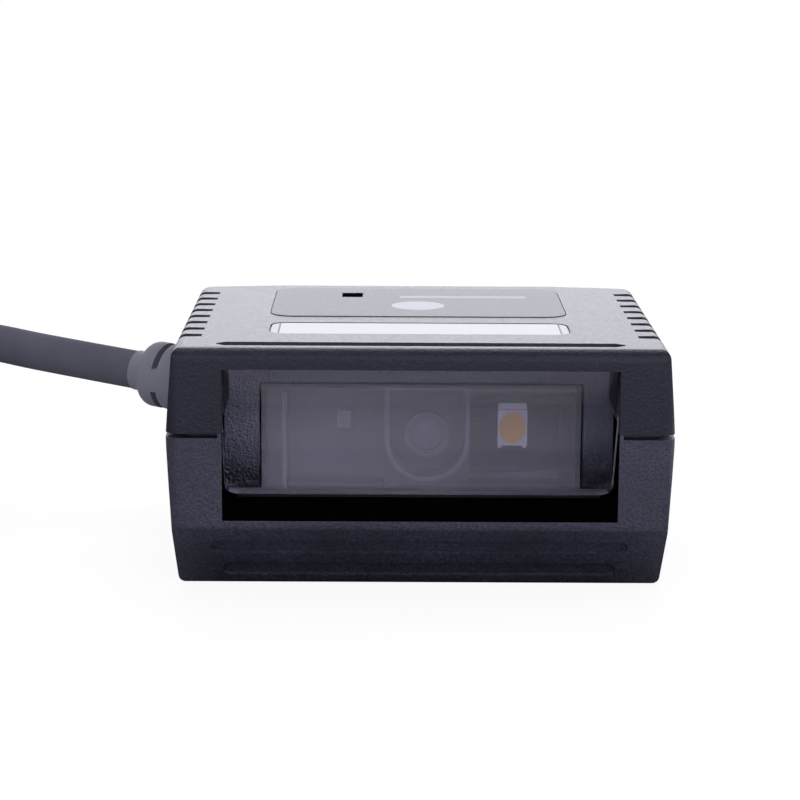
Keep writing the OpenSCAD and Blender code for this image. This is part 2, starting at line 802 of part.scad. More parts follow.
module decoder_board() {
    color(board_green) along_y(board_y, board_back)
        polygon(rounded_box(-board_w / 2, board_seat, board_w / 2, board_top, 0.8));
}

module processor_chip() {
    color(black) block([processor_x - processor_w / 2, board_back, processor_z],
        [processor_x + processor_w / 2, board_back + processor_t, processor_z + processor_w]);
}

module memory_chip() {
    color(black) block([memory_x - memory_w / 2, board_back, memory_z],
        [memory_x + memory_w / 2, board_back + memory_t, memory_z + memory_h]);
}

// Board-to-board ribbon: flat on the sensor board, then an S-bend up into its socket
flex_w = 8;
flex_y = sensor_board_y + sensor_board_t;
socket_z = board_top - 3.4;
flex_z = socket_z - 2;
socket_w = flex_w + 2;
socket_h = 2.2;
socket_t = 1.2;
module fpc_connector() {
    slot = (flex_w + loose) / 2;
    color([0.8, 0.78, 0.7]) difference() {
        block([lens_x - socket_w / 2, board_y - socket_t, socket_z],
            [lens_x + socket_w / 2, board_y, socket_z + socket_h]);
        block([lens_x - slot, board_y - socket_t / 2 - loose, socket_z - 1],
            [lens_x + slot, board_y - socket_t / 2 + loose, socket_z + 1]);
    }
}

module flex_cable() {
    t = 0.2;
    bend = (board_y - socket_t / 2 - flex_y - t / 2) / 2;
    first = [flex_y + t / 2 + bend, flex_z];
    second = first + [0, 2 * bend];
    line = concat([[flex_y + t / 2, lens_z]], arc(first, bend, 180, 90, arc_steps),
        arc(second, bend, -90, 0, arc_steps), [[board_y - socket_t / 2, socket_z + 0.9]]);
    n = len(line);
    normals = [for (i = [0:n - 1]) let (d = unit(line[min(i + 1, n - 1)] - line[max(i - 1, 0)])) [-d.y, d.x]];
    color([0.75, 0.5, 0.2]) along_x(lens_x - flex_w / 2, lens_x + flex_w / 2) polygon(concat(
        [for (i = [0:n - 1]) line[i] + normals[i] * t / 2],
        [for (i = [n - 1:-1:0]) line[i] - normals[i] * t / 2]));
}

header_in = 1.2;
header_w = 7.8;
header_x = [header_in - board_w / 2, header_in + header_w - board_w / 2];
header_z = board_seat + 3.2;
pin_pitch = 1.8;
wire_d = 0.8;
module wire_header() {
    color([0.9, 0.88, 0.8]) difference() {
        block([header_x[0], board_y - 2.8, header_z], [header_x[1], board_y, header_z + 3]);
        block([header_x[0] + 0.5, board_y - 2.3, header_z + 0.8],
            [header_x[1] - 0.5, board_y - 0.5, header_z + 4]);
    }
}

module wire_plug() {
    color([0.92, 0.9, 0.84]) {
        block([header_x[0] + 0.6, board_y - 2.2, header_z + 0.8],
            [header_x[1] - 0.6, board_y - 0.6, header_z + 3.2]);
        block([header_x[0] + 0.2, board_y - 2.6, header_z + 3],
            [header_x[1] - 0.2, board_y - 0.2, header_z + 5.6]);
    }
}

// Four cores from the boot's inner end over to the plug
module lead_wires() {
    top = header_z + 5.6;
    middle = (header_x[0] + header_x[1]) / 2;
    colours = ["red", "white", "green", "dimgray"];
    for (i = [0:3]) {
        x = middle + (i - 1.5) * pin_pitch;
        start = [root_end, exit_y, exit_z + (i - 1.5) * (wire_d + slip / 2)];
        y = board_y - 1.4;
        color(colours[i]) swept([start, start + [0.6, 0, 0], [x - 1, (start.y + y) / 2, start.z - 0.1],
            [x - 0.3, y, start.z - 0.6], [x, y, start.z - 1.6], [x, y, top + 0.8], [x, y, top]],
            wire_d / 2, 8, [0, 1, 0]);
    }
}

module buzzer() {
    color(black) translate([buzzer_x, board_back, buzzer_z]) rotate([-90, 0, 0]) difference() {
        cylinder(d = buzzer_d, h = buzzer_h);
        translate([0, 0, buzzer_h / 3]) cylinder(d = buzzer_hole, h = buzzer_h);
    }
}

module indicator_led() {
    color([0.9, 0.9, 0.85]) block([status.x - led_w / 2, board_back, board_top - 0.2 - led_h],
        [status.x + led_w / 2, board_back + 1.1, board_top - 0.2]);
}

// Turns local +Z to the boot's direction, at its bend
module on_boot() {
    translate(boot_bend) rotate([0, 90 - boot_rise, 180 - boot_lean]) children();
}

module strain_relief() {
    r = boot_d / 2;
    neck = boot_neck_d / 2;
    slot = [0.45, 1.15];
    gap = -case_w / 2 - slip;
    color(lead_grey) {
        difference() {
            union() {
                // Boot and its round bend, cut off at the wall
                intersection() {
                    union() {
                        on_boot() rotate_extrude() polygon(concat([[0, 0], [r, 0]],
                            arc([r - 1.2, 2.2], 1.2, 0, 55, 4), arc([neck + 0.9, 4.3], 0.9, 235, 180, 3),
                            [[neck, boot_l], [0, boot_l]]));
                        translate(boot_bend) sphere(d = boot_d);
                    }
                    block([gap - 2 * boot_d, exit_y - boot_d, 0], [gap, exit_y + 2 * boot_d, case_h]);
                }
                translate([root_end, exit_y, exit_z]) rotate([0, -90, 0])
                    cylinder(d = root_d, h = root_end - boot_bend.x);
                translate([flange_x, exit_y, exit_z]) rotate([0, 90, 0]) cylinder(d = flange_d, h = flange_t);
            }
            // Flex ring, bridged at both sides
            on_boot() difference() {
                bar(slot[0], slot[1], boot_d + 2);
                bar(slot[0] - 1, slot[1] + 1, boot_d - 2.6);
                cube([2.5, boot_d + 4, 9], center = true);
            }
        }
    }
}

// Place on the coil at an angle, a distance from its middle and a height, and the lead's way there
function on_coil(angle, r, z) = [coil_centre.x + r * cos(angle), coil_centre.y + r * sin(angle), z];
function coil_way(angle) = [-sin(angle), cos(angle), 0];

// Distance from the coil's middle of the lead that joins it, by the angle still to go
function join_r(to_go) = let (u = to_go / join_angle) coil_r + join_step * u * u * (3 - 2 * u);

module cord() {
    tip = boot_bend + boot_l * boot_axis;
    join = on_coil(coil_start, coil_r, cord_d / 2);
    color(lead_grey) swept(concat([tip, tip + 1.5 * boot_axis], cord_route,
        [join - coil_way(coil_start), join]), cord_d / 2, 10);
}

module cord_coil() {
    half = (coil_r - coil_in + cord_d) / 2;
    edge = cord_d / 2 + loose;
    past = coil_r + cord_d;
    color(lead_grey) difference() {
        translate([coil_centre.x, coil_centre.y, 0]) rotate_extrude($fn = 96)
            translate([coil_r + cord_d / 2 - half, 0]) polygon(rounded_box(-half, 0, half, coil_h, 2));
        // Room for the lead where it joins the lowest turn
        translate([coil_centre.x, coil_centre.y, -1]) linear_extrude(cord_d + loose + 1)
            polygon(concat([for (i = [0:6]) let (a = join_angle * i / 6)
                (join_r(a) - edge) * [cos(coil_start - a), sin(coil_start - a)]],
                arc([0, 0], 2 * past, coil_start - join_angle, coil_start, 4)));
        // Room for the lead where it leaves the highest turn
        translate([coil_centre.x, coil_centre.y, coil_h - cord_d]) linear_extrude(cord_d + 1)
            polygon(concat(arc([0, 0], coil_r - edge, coil_end + leave_angle, coil_end, 6),
                arc([0, 0], 2 * past, coil_end, coil_end + leave_angle, 4)));
    }
}

plug_z = coil_h + plug_body_h / 2;
module cord_tail() {
    leave = on_coil(coil_end, coil_r, coil_h - cord_d / 2);
    last = [plug_start.x, plug_start.y, plug_z];
    color(lead_grey) swept(concat([leave, leave + coil_way(coil_end)], tail_route,
        [last - [cos(plug_turn), sin(plug_turn), 0], last]), cord_d / 2, 10);
}

// Turns local +X along the plug, from the lead's end
module on_plug() {
    translate([plug_start.x, plug_start.y, plug_z]) rotate(plug_turn) children();
}

module plug_body() {
    color([0.14, 0.14, 0.16]) on_plug() {
        rotate([0, 90, 0]) cylinder(d1 = cord_d + 0.6, d2 = cord_d + 2.2, h = plug_relief);
        along_x(plug_relief, plug_relief + plug_body_l)
            polygon(rounded_box(-plug_body_w / 2, -plug_body_h / 2, plug_body_w / 2, plug_body_h / 2, 1.4));
    }
}

plug_face = plug_relief + plug_body_l;
module plug_shell() {
    color([0.75, 0.76, 0.78]) on_plug() difference() {
        block([plug_face, -shell_w / 2, -shell_h / 2], [plug_face + shell_l, shell_w / 2, shell_h / 2]);
        block([plug_face - 1, -shell_w / 2 + shell_t, -shell_h / 2 + shell_t],
            [plug_face + shell_l + 1, shell_w / 2 - shell_t, shell_h / 2 - shell_t]);
        for (y = [-2.9, 2.9]) translate([plug_face + 6.2, y, 0]) cube([2.4, 2.2, 10], center = true);
    }
}

module plug_tongue() {
    color("white") on_plug() block([plug_face, -shell_w / 2 + shell_t + slip, 0],
        [plug_face + shell_l - 0.8, shell_w / 2 - shell_t - slip, shell_h / 2 - shell_t - slip / 2]);
}

module plug_contacts() {
    color([0.85, 0.68, 0.3]) on_plug() for (y = [-3.5, -1, 1, 3.5])
        block([plug_face, y - 0.5, -0.12], [plug_face + shell_l - 1.6, y + 0.5, 0]);
}

upper_cover();
lower_cover();
window();
window_seal();
light_baffle();
name_label();
top_overlay();
indicator_lens();
case_screws();
mount_inserts();
engine_cover();
engine_frame();
lens_barrel();
lens_glass();
lens_holder();
image_sensor();
sensor_board();
led_board();
illumination_led();
led_phosphor();
aimer_led();
engine_screws();
decoder_board();
processor_chip();
memory_chip();
fpc_connector();
flex_cable();
wire_header();
wire_plug();
lead_wires();
buzzer();
indicator_led();
strain_relief();
cord();
cord_coil();
cord_tail();
plug_body();
plug_shell();
plug_tongue();
plug_contacts();
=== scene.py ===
import math
import bpy
from mathutils import Matrix, Vector


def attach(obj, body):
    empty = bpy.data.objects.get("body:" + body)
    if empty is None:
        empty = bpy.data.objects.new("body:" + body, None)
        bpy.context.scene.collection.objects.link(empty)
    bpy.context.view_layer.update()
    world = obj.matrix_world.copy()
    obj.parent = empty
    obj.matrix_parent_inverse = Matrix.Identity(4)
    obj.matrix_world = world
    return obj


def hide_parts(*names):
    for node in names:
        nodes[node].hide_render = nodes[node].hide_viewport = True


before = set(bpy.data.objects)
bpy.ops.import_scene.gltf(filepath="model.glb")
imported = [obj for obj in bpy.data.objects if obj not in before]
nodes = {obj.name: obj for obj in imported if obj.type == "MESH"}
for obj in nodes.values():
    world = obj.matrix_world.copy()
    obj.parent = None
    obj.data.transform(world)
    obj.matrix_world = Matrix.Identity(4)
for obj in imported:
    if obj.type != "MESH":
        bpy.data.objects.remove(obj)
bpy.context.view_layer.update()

# Camera
# A long lens on a low stand in front of the window, looking a little down on the roof.
# Turn, pitch and roll were fitted to the housing's corners in the photograph.
camera_place = Vector((-0.003511, -0.250332, 0.065439))
camera_turn = -0.0065
camera_pitch = 0.198
camera_roll = 0.0062
camera = bpy.data.objects.new("camera", bpy.data.cameras.new("camera"))
camera.data.sensor_width = 36
camera.data.lens = 109.39
camera.data.clip_start = 0.01
bpy.context.scene.collection.objects.link(camera)
aim = Matrix.Rotation(camera_turn, 4, "Z") @ Matrix.Rotation(math.pi / 2 - camera_pitch, 4, "X")
camera.matrix_world = Matrix.Translation(camera_place) @ aim @ Matrix.Rotation(camera_roll, 4, "Z")
bpy.context.scene.camera = camera
bpy.context.scene.view_settings.view_transform = "Standard"

# Data lead
# One round PVC sheath, 4.2 mm thick and 1.5 m long, extruded over four cores. It leaves the boot,
# sags down to the floor and is wound into a flat coil of four layers that carries the plug.
mm = 0.001


def linear(hex_colour):
    """An sRGB hex colour as linear red, green, blue and alpha."""
    parts = [int(hex_colour[i:i + 2], 16) / 255 for i in (0, 2, 4)]
    return [p / 12.92 if p <= 0.04045 else ((p + 0.055) / 1.055) ** 2.4 for p in parts] + [1.0]


def add(material, kind, settings=None, links=None):
    """Adds a node to a material, sets its sockets and properties, and joins its inputs."""
    node = material.node_tree.nodes.new(kind)
    for key, value in (settings or {}).items():
        if isinstance(key, int) or key in node.inputs:
            node.inputs[key].default_value = value
        else:
            setattr(node, key, value)
    for key, output in (links or {}).items():
        material.node_tree.links.new(output, node.inputs[key])
    return node


def new_material(name):
    """An empty material with nodes, and the object coordinates that its patterns follow."""
    material = bpy.data.materials.new(name)
    material.use_nodes = True
    material.node_tree.nodes.clear()
    place = add(material, "ShaderNodeTexCoord").outputs["Object"]
    return material, place


def surface(material, settings, links=None, clear=False):
    """Ends a material in one principled shader. A clear one lets the lamps' light through."""
    shader = add(material, "ShaderNodeBsdfPrincipled", settings, links).outputs["BSDF"]
    if clear:
        lamp_ray = add(material, "ShaderNodeLightPath").outputs["Is Shadow Ray"]
        through = add(material, "ShaderNodeBsdfTransparent").outputs["BSDF"]
        mixed = add(material, "ShaderNodeMixShader", {}, {0: lamp_ray, 1: shader, 2: through})
        shader = mixed.outputs["Shader"]
    add(material, "ShaderNodeOutputMaterial", {}, {"Surface": shader})
    return material


def grained(name, dark, light, grain, height, roughness, settings=None, patch=4):
    """Two near colours in soft patches over a fine raised grain. Grain, height and patch are in mm.

    Most real grains are too fine to show here, so they are drawn 0.2 to 1 mm wide.
    """
    material, place = new_material(name)
    cloud = add(material, "ShaderNodeTexNoise", {"Scale": 1 / (patch * mm), "Detail": 3.0}, {"Vector": place})
    colour = add(material, "ShaderNodeMix", {"data_type": "RGBA", 6: linear(dark), 7: linear(light)},
                 {0: cloud.outputs["Fac"]})
    fine = add(material, "ShaderNodeTexNoise", {"Scale": 1 / (grain * mm), "Detail": 2.0, "Roughness": 0.6},
               {"Vector": place})
    rough = add(material, "ShaderNodeMapRange", {"To Min": roughness - 0.05, "To Max": roughness + 0.07},
                {"Value": fine.outputs["Fac"]})
    bump = add(material, "ShaderNodeBump", {"Strength": 0.5, "Distance": height * mm},
               {"Height": fine.outputs["Fac"]})
    return surface(material, settings or {},
                   {"Base Color": colour.outputs[2], "Roughness": rough.outputs["Result"],
                    "Normal": bump.outputs["Normal"]})


def paint(piece, material):
    """Gives a piece one material all over."""
    piece.data.materials.clear()
    piece.data.materials.append(material)


# Extruded soft PVC: a dull satin skin with a faint unevenness from the die
sheath = grained("extruded_pvc", "4c4c56", "565661", 0.6, 0.03, 0.8,
                 {"IOR": 1.52, "Specular IOR Level": 0.02})

lead_d = 4.2
boot_lean = math.radians(27)
boot_rise = math.radians(4.1)
boot_bend = Vector((-26.2, 9.5, 15.725))
boot_l = 4.9
boot_axis = Vector((-math.cos(boot_lean) * math.cos(boot_rise),
                    math.sin(boot_lean) * math.cos(boot_rise), math.sin(boot_rise)))
boot_tip = boot_bend + boot_l * boot_axis
straight_l = 1.5
lead_route = [(-36, 14.5, 16.5), (-42, 17.5, 17), (-49, 21.1, 17.6), (-52.6, 22.9, 17.5),
              (-56.1, 24.7, 16.5), (-59.7, 26.5, 14.6), (-61.8, 27.6, 13), (-65.1, 29.4, 9.9),
              (-68.6, 30.6, 6.8), (-71.8, 31.4, 4.5), (-75.8, 31.9, 2.9), (-81.2, 31.8, 2.2),
              (-88.1, 30, 2.1), (-93.8, 26.3, 2.1), (-98.2, 21.4, 2.1), (-101.3, 15.9, 2.1),
              (-103.4, 10.3, 2.1), (-104.3, 6.5, 2.1)]
tail_route = [(-56.3, 15.4, 15), (-59.8, 19.2, 15.8), (-64, 22.3, 16.9), (-68.7, 24.6, 17.9),
              (-73.7, 25.9, 18.6), (-78.5, 26.2, 18.9), (-83.1, 25.5, 18.9), (-87.4, 23.5, 18.9),
              (-91, 20.4, 19.1), (-93.6, 16.4, 19.5), (-94.9, 12.2, 19.9), (-95.1, 7.7, 20.2)]
plug_start = Vector((-94.1, 3.1, 20.3))
coil_centre = Vector((-78, -1, 0))
coil_out = 27.2
coil_turns = 2.4
coil_layers = 4
coil_from = 170
steps_a_turn = 20
# Part of a turn over which the lead climbs from one layer to the next
climb_turns = 0.2


def coil_point(turn):
    """A point of the coil's centreline, by the turns wound so far."""
    layer = min(int(turn / coil_turns), coil_layers - 1)
    part = turn / coil_turns - layer
    inwards = part if layer % 2 == 0 else 1 - part
    radius = coil_out - lead_d * coil_turns * inwards
    # The lowest layer's centreline lies half a diameter above the floor
    climb = 0.5
    for end in range(1, coil_layers):
        past = (turn - end * coil_turns) / climb_turns + 0.5
        past = min(max(past, 0), 1)
        climb += past * past * (3 - 2 * past)
    angle = math.radians(coil_from + 360 * turn)
    return coil_centre + Vector((radius * math.cos(angle), radius * math.sin(angle), climb * lead_d))


wound = coil_turns * coil_layers
step_count = round(wound * steps_a_turn)
coil_line = [coil_point(wound * i / step_count) for i in range(step_count + 1)]
lead_line = [boot_tip, boot_tip + straight_l * boot_axis]
lead_line += [Vector(p) for p in lead_route] + coil_line + [Vector(p) for p in tail_route] + [plug_start]
lead_curve = bpy.data.curves.new("data_lead", "CURVE")
lead_curve.dimensions = "3D"
lead_curve.resolution_u = 6
lead_curve.bevel_depth = lead_d / 2 * mm
lead_curve.bevel_resolution = 6
lead_curve.use_fill_caps = True
spline = lead_curve.splines.new("BEZIER")
spline.bezier_points.add(len(lead_line) - 1)
for point, place in zip(spline.bezier_points, lead_line):
    point.co = place * mm
    point.handle_left_type = "AUTO"
    point.handle_right_type = "AUTO"
lead = bpy.data.objects.new("data_lead", lead_curve)
bpy.context.scene.collection.objects.link(lead)
lead.data.materials.append(sheath)
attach(lead, "root")
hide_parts("cord", "cord_coil", "cord_tail")

# Coil tie
# A soft black strap, 6 mm wide, closed round all the turns of the coil. It is cut from woven
# loop tape, and its free end is lapped over itself on the outer side.
tie_angle = math.radians(-30)
tie_inside = 15.1
tie_outside = 28.8
tie_top = 16.9
tie_foot = 0.65
tie_t = 0.5
tie_w = 6
tie_corner_r = 2.2
selvedge_r = 0.15
lap_l = 8
lap_middle = 9
# A face looks along an axis when its normal has at least this part along it
faces_axis = 0.9
smooth_angle = math.radians(40)
# Loop tape: a dull black with a soft sheen, its 0.6 mm loops standing 0.2 mm high
loop_tape = grained("woven_loop_tape", "0e0e11", "26262b", 0.6, 0.2, 0.85, {"Sheen Weight": 0.3}, 1)
bpy.ops.object.select_all(action="DESELECT")
bpy.ops.mesh.primitive_cube_add(
    size=mm, location=((tie_inside + tie_outside) / 2 * mm, 0, (tie_foot + tie_top) / 2 * mm),
    scale=(tie_outside - tie_inside, tie_w, tie_top - tie_foot))
tie = bpy.context.active_object
tie.name = "coil_tie"
bpy.ops.object.transform_apply(location=True, scale=True)
# The block's two open sides go, its four long edges are rounded, and the loop that is left gets
# the tape's thickness
bpy.ops.object.mode_set(mode="EDIT")
bpy.ops.mesh.select_mode(type="FACE")
bpy.ops.mesh.select_all(action="DESELECT")
bpy.ops.object.mode_set(mode="OBJECT")
for face in tie.data.polygons:
    face.select = abs(face.normal.y) > faces_axis
bpy.ops.object.mode_set(mode="EDIT")
bpy.ops.mesh.delete(type="ONLY_FACE")
bpy.ops.mesh.select_mode(type="EDGE")
bpy.ops.mesh.select_all(action="DESELECT")
bpy.ops.object.mode_set(mode="OBJECT")
for edge in tie.data.edges:
    first, second = [tie.data.vertices[i].co for i in edge.vertices]
    edge.select = abs(first.y - second.y) > tie_w / 2 * mm
bpy.ops.object.mode_set(mode="EDIT")
bpy.ops.mesh.bevel(offset=tie_corner_r * mm, segments=8, affect="EDGES")
bpy.ops.object.mode_set(mode="OBJECT")
tape = tie.modifiers.new("tape", "SOLIDIFY")
tape.thickness = tie_t * mm
tape.offset = 1
bpy.ops.object.modifier_apply(modifier="tape")
# The free end lies flat on the strap's outer side and is joined to it
bpy.ops.object.select_all(action="DESELECT")
bpy.ops.mesh.primitive_cube_add(
    size=mm, location=((tie_outside + 1.5 * tie_t) * mm, 0, lap_middle * mm), scale=(tie_t, tie_w, lap_l))
tie.select_set(True)
bpy.context.view_layer.objects.active = tie
bpy.ops.object.join()
selvedge = tie.modifiers.new("selvedge", "BEVEL")
selvedge.width = selvedge_r * mm
selvedge.segments = 2
selvedge.angle_limit = math.radians(50)
bpy.ops.object.modifier_apply(modifier="selvedge")
tie.rotation_euler.z = tie_angle
tie.location = coil_centre * mm
bpy.ops.object.transform_apply(location=True, rotation=True)
bpy.ops.object.shade_smooth_by_angle(angle=smooth_angle)
paint(tie, loop_tape)
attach(tie, "root")

# Housing covers
# Two injection-moulded ABS shells, stood on each other at the open parting line and screwed
# together from below. Both have a fine spark-eroded texture, which turns light grey where it is
# seen at a low angle.
cool_gloss = (0.78, 0.78, 1.0, 1.0)
cover_edge_r = 0.12


def spark_eroded(name, dark, light, roughness, gloss):
    """Moulded ABS with the mould's spark-eroded pits, drawn 0.26 mm wide so that they show."""
    pit = 0.26 * mm
    pit_depth = 0.1 * mm
    patch = 6 * mm
    material, place = new_material(name)
    cloud = add(material, "ShaderNodeTexNoise", {"Scale": 1 / patch, "Detail": 4.0}, {"Vector": place})
    grains = add(material, "ShaderNodeTexNoise", {"Scale": 1 / pit, "Detail": 2.0, "Roughness": 0.7},
                 {"Vector": place})
    spots = add(material, "ShaderNodeMapRange", {"From Min": 0.35, "From Max": 0.7},
                {"Value": grains.outputs["Fac"]})
    tone = add(material, "ShaderNodeMath", {"operation": "MULTIPLY"},
               {0: cloud.outputs["Fac"], 1: spots.outputs["Result"]})
    colour = add(material, "ShaderNodeMix", {"data_type": "RGBA", 6: linear(dark), 7: linear(light)},
                 {0: tone.outputs[0]})
    rough = add(material, "ShaderNodeMapRange", {"To Min": roughness - 0.1, "To Max": roughness + 0.1},
                {"Value": grains.outputs["Fac"]})
    pits = add(material, "ShaderNodeBump", {"Strength": 1.0, "Distance": pit_depth},
               {"Height": grains.outputs["Fac"]})
    return surface(material, {"IOR": 1.53, "Specular IOR Level": gloss, "Specular Tint": cool_gloss},
                   {"Base Color": colour.outputs[2], "Roughness": rough.outputs["Result"],
                    "Normal": pits.outputs["Normal"]})


def rounded_copy(node, radius):
    """A copy of a CAD node with its edges rounded, as a moulded piece has them. It replaces the node."""
    piece = nodes[node].copy()
    piece.data = nodes[node].data.copy()
    for key in list(piece.keys()):
        del piece[key]
    piece.parent = None
    piece.name = node + "_finished"
    bpy.context.scene.collection.objects.link(piece)
    bpy.ops.object.select_all(action="DESELECT")
    piece.select_set(True)
    bpy.context.view_layer.objects.active = piece
    # The node's loose triangles are merged and made flat faces again
    bpy.ops.object.mode_set(mode="EDIT")
    bpy.ops.mesh.select_all(action="SELECT")
    bpy.ops.mesh.remove_doubles(threshold=0.002 * mm)
    bpy.ops.mesh.dissolve_limited(angle_limit=math.radians(0.5))
    bpy.ops.object.mode_set(mode="OBJECT")
    if radius:
        bevel = piece.modifiers.new("edge", "BEVEL")
        bevel.width = radius * mm
        bevel.segments = 2
        bevel.limit_method = "ANGLE"
        bevel.angle_limit = math.radians(35)
        bevel.use_clamp_overlap = True
        bevel.miter_outer = "MITER_ARC"
        bpy.ops.object.modifier_apply(modifier="edge")
    bpy.ops.object.shade_smooth_by_angle(angle=smooth_angle)
    weights = piece.modifiers.new("flats", "WEIGHTED_NORMAL")
    weights.keep_sharp = True
    weights.weight = 100
    bpy.ops.object.modifier_apply(modifier="flats")
    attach(piece, "root")
    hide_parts(node)
    return piece


# Both covers are matt black. The lower one is rougher and glossier, and its paler colours are painted light,
# for the brighter light that its front catches
upper_abs = spark_eroded("spark_eroded_abs_upper", "05050b", "1a1a28", 0.42, 0.28)
lower_abs_painted_light = spark_eroded("spark_eroded_abs_lower_painted_light", "13131b", "3a3a4a", 0.5, 0.42)
upper = rounded_copy("upper_cover", cover_edge_r)
paint(upper, upper_abs)
lower = rounded_copy("lower_cover", cover_edge_r)
paint(lower, lower_abs_painted_light)
# Painted shade: a dead black on the ledge under the window and on the opening's cheeks, where the shade lies
painted_shade_black = grained("painted_shade_ledge_black", "020203", "050507", 0.3, 0.02, 0.9, {"Specular IOR Level": 0.0})
lower.data.materials.append(painted_shade_black)
painted_shade_slot = 1
ledge_z = 7.3 * mm
ledge_back = -9.5 * mm
cheek_x = (19 * mm, 20 * mm)
hair = 0.1 * mm
for face in lower.data.polygons:
    at_ledge = abs(face.center.z - ledge_z) < hair and face.center.y < ledge_back
    ledge = face.normal.z > faces_axis and at_ledge
    at_cheek = cheek_x[0] < abs(face.center.x) < cheek_x[1] and face.center.z > ledge_z
    cheek = abs(face.normal.x) > faces_axis and at_cheek
    if ledge or cheek:
        face.material_index = painted_shade_slot
# A pale grey is painted on the middle of the lip behind the window's foot, a painted highlight that shows as
# a thin pale line
painted_foot_highlight = grained("painted_foot_highlight_grey", "62626e", "6a6a76", 0.4, 0.01, 0.5)
lower.data.materials.append(painted_foot_highlight)
painted_foot_highlight_slot = 2
foot_line_y = (-9.4 * mm, -8.1 * mm)
foot_line_top = 8.2 * mm
foot_line_half = 5 * mm
for face in lower.data.polygons:
    across = foot_line_y[0] < face.center.y < foot_line_y[1] and abs(face.center.x) < foot_line_half
    if across and ledge_z + hair < face.center.z < foot_line_top:
        face.material_index = painted_foot_highlight_slot

# Window
# Cast acrylic plate, 1.5 mm thick with polished faces, leaning under the roof. Its foot stands on
# black foam on the sill, and the foam shows as a dark line under the bright lower edge.
window_lean = math.radians(30)
window_edge_r = 0.12
# Polished acrylic: clear, with a cold, weak reflection of the studio
acrylic = new_material("polished_acrylic")[0]
surface(acrylic, {"Base Color": linear("f8f8fc"), "Roughness": 0.0, "IOR": 1.49, "Transmission Weight": 1.0,
                  "Specular Tint": (0.82, 0.8, 1.0, 1.0)}, clear=True)
# Its sawn edges scatter the light, so they look milky white
sawn = new_material("sawn_acrylic_edge")[0]
surface(sawn, {"Base Color": linear("f2f2fc"), "Roughness": 0.5, "IOR": 1.49})
window = rounded_copy("window", window_edge_r)
paint(window, acrylic)
window.data.materials.append(sawn)
sawn_slot = 1
plate_normal = Vector((0, math.cos(window_lean), math.sin(window_lean)))
for face in window.data.polygons:
    if abs(face.normal.dot(plate_normal)) < faces_axis:
        face.material_index = sawn_slot
# Closed-cell foam: dead black, with a fine skin
foam = grained("closed_cell_foam", "060607", "0b0b0c", 0.4, 0.05, 0.85)
paint(nodes["window_seal"], foam)

# Light baffle
# Black ABS plate around the engine's aperture, slid into guides behind the window. It is moulded
# with a coarse leather grain that kills glare.
leather_cell = 0.3 * mm
leather_crease = 0.2 * mm
leather_depth = 0.1 * mm
leather_foot = 8.5 * mm
leather_head = 13 * mm
# Leather grain: small rounded cells between creases, with painted light that makes it greyer above and
# painted shade that makes it dark in the corner below
leather, place = new_material("leather_grained_abs")
cells = add(leather, "ShaderNodeTexVoronoi",
            {"feature": "SMOOTH_F1", "Scale": 1 / leather_cell, "Smoothness": 0.3}, {"Vector": place})
creases = add(leather, "ShaderNodeTexNoise", {"Scale": 1 / leather_crease, "Detail": 3.0}, {"Vector": place})
relief = add(leather, "ShaderNodeMath", {"operation": "ADD"},
             {0: cells.outputs["Distance"], 1: creases.outputs["Fac"]})
bump = add(leather, "ShaderNodeBump", {"Strength": 0.9, "Distance": leather_depth},
           {"Height": relief.outputs[0]})
# The grain's colour runs from painted shade at the foot to painted light at the head
height = add(leather, "ShaderNodeSeparateXYZ", {}, {0: place}).outputs["Z"]
painted_shade_by_height = add(leather, "ShaderNodeMapRange", {"From Min": leather_foot, "From Max": leather_head},
             {"Value": height})
tone = add(leather, "ShaderNodeMix", {"data_type": "RGBA", 6: linear("16161c"), 7: linear("5c5c6c")},
           {0: painted_shade_by_height.outputs["Result"]})
surface(leather, {"Roughness": 0.35, "Specular Tint": cool_gloss},
        {"Base Color": tone.outputs[2], "Normal": bump.outputs["Normal"]})
baffle = rounded_copy("light_baffle", 0.1)
paint(baffle, leather)

# Labels and status window
# A bare white strip in the front recess, and a printed film over the rear of the roof with one
# pale disc and one pale bar, both stuck on. A smoke plastic window stands through the film.
strip_half = 14.1 * mm
cut_x = 14.15 * mm
cut_half = 0.08 * mm
# Satin label film: white and even, with a thin cut line near each end; past it the greyer margins are a
# painted reflection, the pale sheen that the recess floor shows
label_film, place = new_material("satin_label_film")
apart = add(label_film, "ShaderNodeSeparateXYZ", {}, {0: place})
from_middle = add(label_film, "ShaderNodeMath", {"operation": "ABSOLUTE"}, {0: apart.outputs["X"]})
strip = add(label_film, "ShaderNodeMath", {"operation": "LESS_THAN", 1: strip_half},
            {0: from_middle.outputs[0]})
cut = add(label_film, "ShaderNodeMath", {"operation": "COMPARE", 1: cut_x, 2: cut_half},
          {0: from_middle.outputs[0]})
film_tone = add(label_film, "ShaderNodeMix", {"data_type": "RGBA", 6: linear("ced0d2"), 7: linear("d6d6da")},
                {0: strip.outputs[0]})
film_tone = add(label_film, "ShaderNodeMix", {"data_type": "RGBA", 7: linear("90909c")},
                {0: cut.outputs[0], 6: film_tone.outputs[2]})
grain = add(label_film, "ShaderNodeTexNoise", {"Scale": 1 / (0.4 * mm), "Detail": 2.0}, {"Vector": place})
satin = add(label_film, "ShaderNodeMapRange", {"To Min": 0.45, "To Max": 0.6},
            {"Value": grain.outputs["Fac"]})
surface(label_film, {"Specular IOR Level": 0.0},
        {"Base Color": film_tone.outputs[2], "Roughness": satin.outputs["Result"]})
paint(nodes["name_label"], label_film)

disc_middle = (0, 5.5 * mm, 24.38 * mm)
disc_r = 2.8 * mm
bar_middle = (4.95 * mm, 11.45 * mm)
bar_half = (6.85 * mm, 0.7 * mm)
